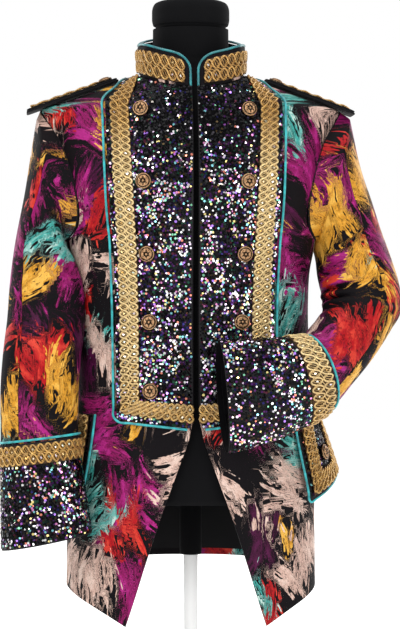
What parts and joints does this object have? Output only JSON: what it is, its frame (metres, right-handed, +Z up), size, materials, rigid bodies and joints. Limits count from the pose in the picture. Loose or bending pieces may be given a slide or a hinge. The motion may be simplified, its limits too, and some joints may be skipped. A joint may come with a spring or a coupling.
{
  "type": "carnival jacket on a limbless dress form with a stand",
  "caption": "Long military-style costume jacket with sequin fronts, gold braid, epaulettes and flared cuffs, worn by a limbless dress form on a round foot, one sleeve bent across the front.",
  "frame": {"origin": "centre of the underside of the round foot", "axes": "+Z up, the front faces -Y, +X towards the wearer's left, the viewer's right"},
  "size_m": [0.6195, 0.3786, 1.039],
  "materials": {
    "brocade": "satin brocade, black ground with brush patches of magenta, teal, ochre, beige, red and plum",
    "sequins": "black cloth covered with small iridescent sequins",
    "gold_braid": "metallic gold gimp braid in looped rows",
    "teal_cord": "satin covered piping",
    "lining": "plain black satin lining",
    "board_cloth": "stiff black cloth-covered board",
    "button_metal": "antique copper-gold, embossed",
    "form_cloth": "smooth black velvet",
    "white_steel": "white lacquer"
  },
  "bodies": {
    "root": {"back_left": "brocade", "back_right": "brocade", "board_lower_left": "board_cloth", "board_lower_right": "board_cloth", "board_upper_left": "board_cloth", "board_upper_right": "board_cloth", "braid_collar": "gold_braid", "braid_cuff_left": "gold_braid", "braid_cuff_right": "gold_braid", "braid_flap_left": "gold_braid", "braid_flap_right": "gold_braid", "braid_front_left": "gold_braid", "braid_front_right": "gold_braid", "button_board_left": "button_metal", "button_board_right": "button_metal", "button_flap_left": "button_metal", "button_flap_right": "button_metal", "button_front_left_1": "button_metal", "button_front_left_2": "button_metal", "button_front_left_3": "button_metal", "button_front_left_4": "button_metal", "button_front_left_5": "button_metal", "button_front_right_1": "button_metal", "button_front_right_2": "button_metal", "button_front_right_3": "button_metal", "button_front_right_4": "button_metal", "button_front_right_5": "button_metal", "collar": "brocade", "cord_board_left": "gold_braid", "cord_board_right": "gold_braid", "cuff_left": "sequins", "cuff_right": "sequins", "flap_left": "lining", "flap_right": "lining", "form_neck_cap": "form_cloth", "form_torso": "form_cloth", "front_left": "brocade", "front_right": "brocade", "lining_back": "lining", "piping_collar": "teal_cord", "piping_cuff_left": "teal_cord", "piping_cuff_right": "teal_cord", "piping_flap_left": "teal_cord", "piping_flap_right": "teal_cord", "piping_front_left": "teal_cord", "piping_front_right": "teal_cord", "sequin_flap_left": "sequins", "sequin_flap_right": "sequins", "sequin_front_left": "sequins", "sequin_front_right": "sequins", "sleeve_inner_left": "brocade", "sleeve_inner_right": "brocade", "sleeve_outer_left": "brocade", "sleeve_outer_right": "brocade", "stand_foot": "white_steel", "stand_pole": "white_steel", "stand_socket": "form_cloth"}
  },
  "joints": []
}
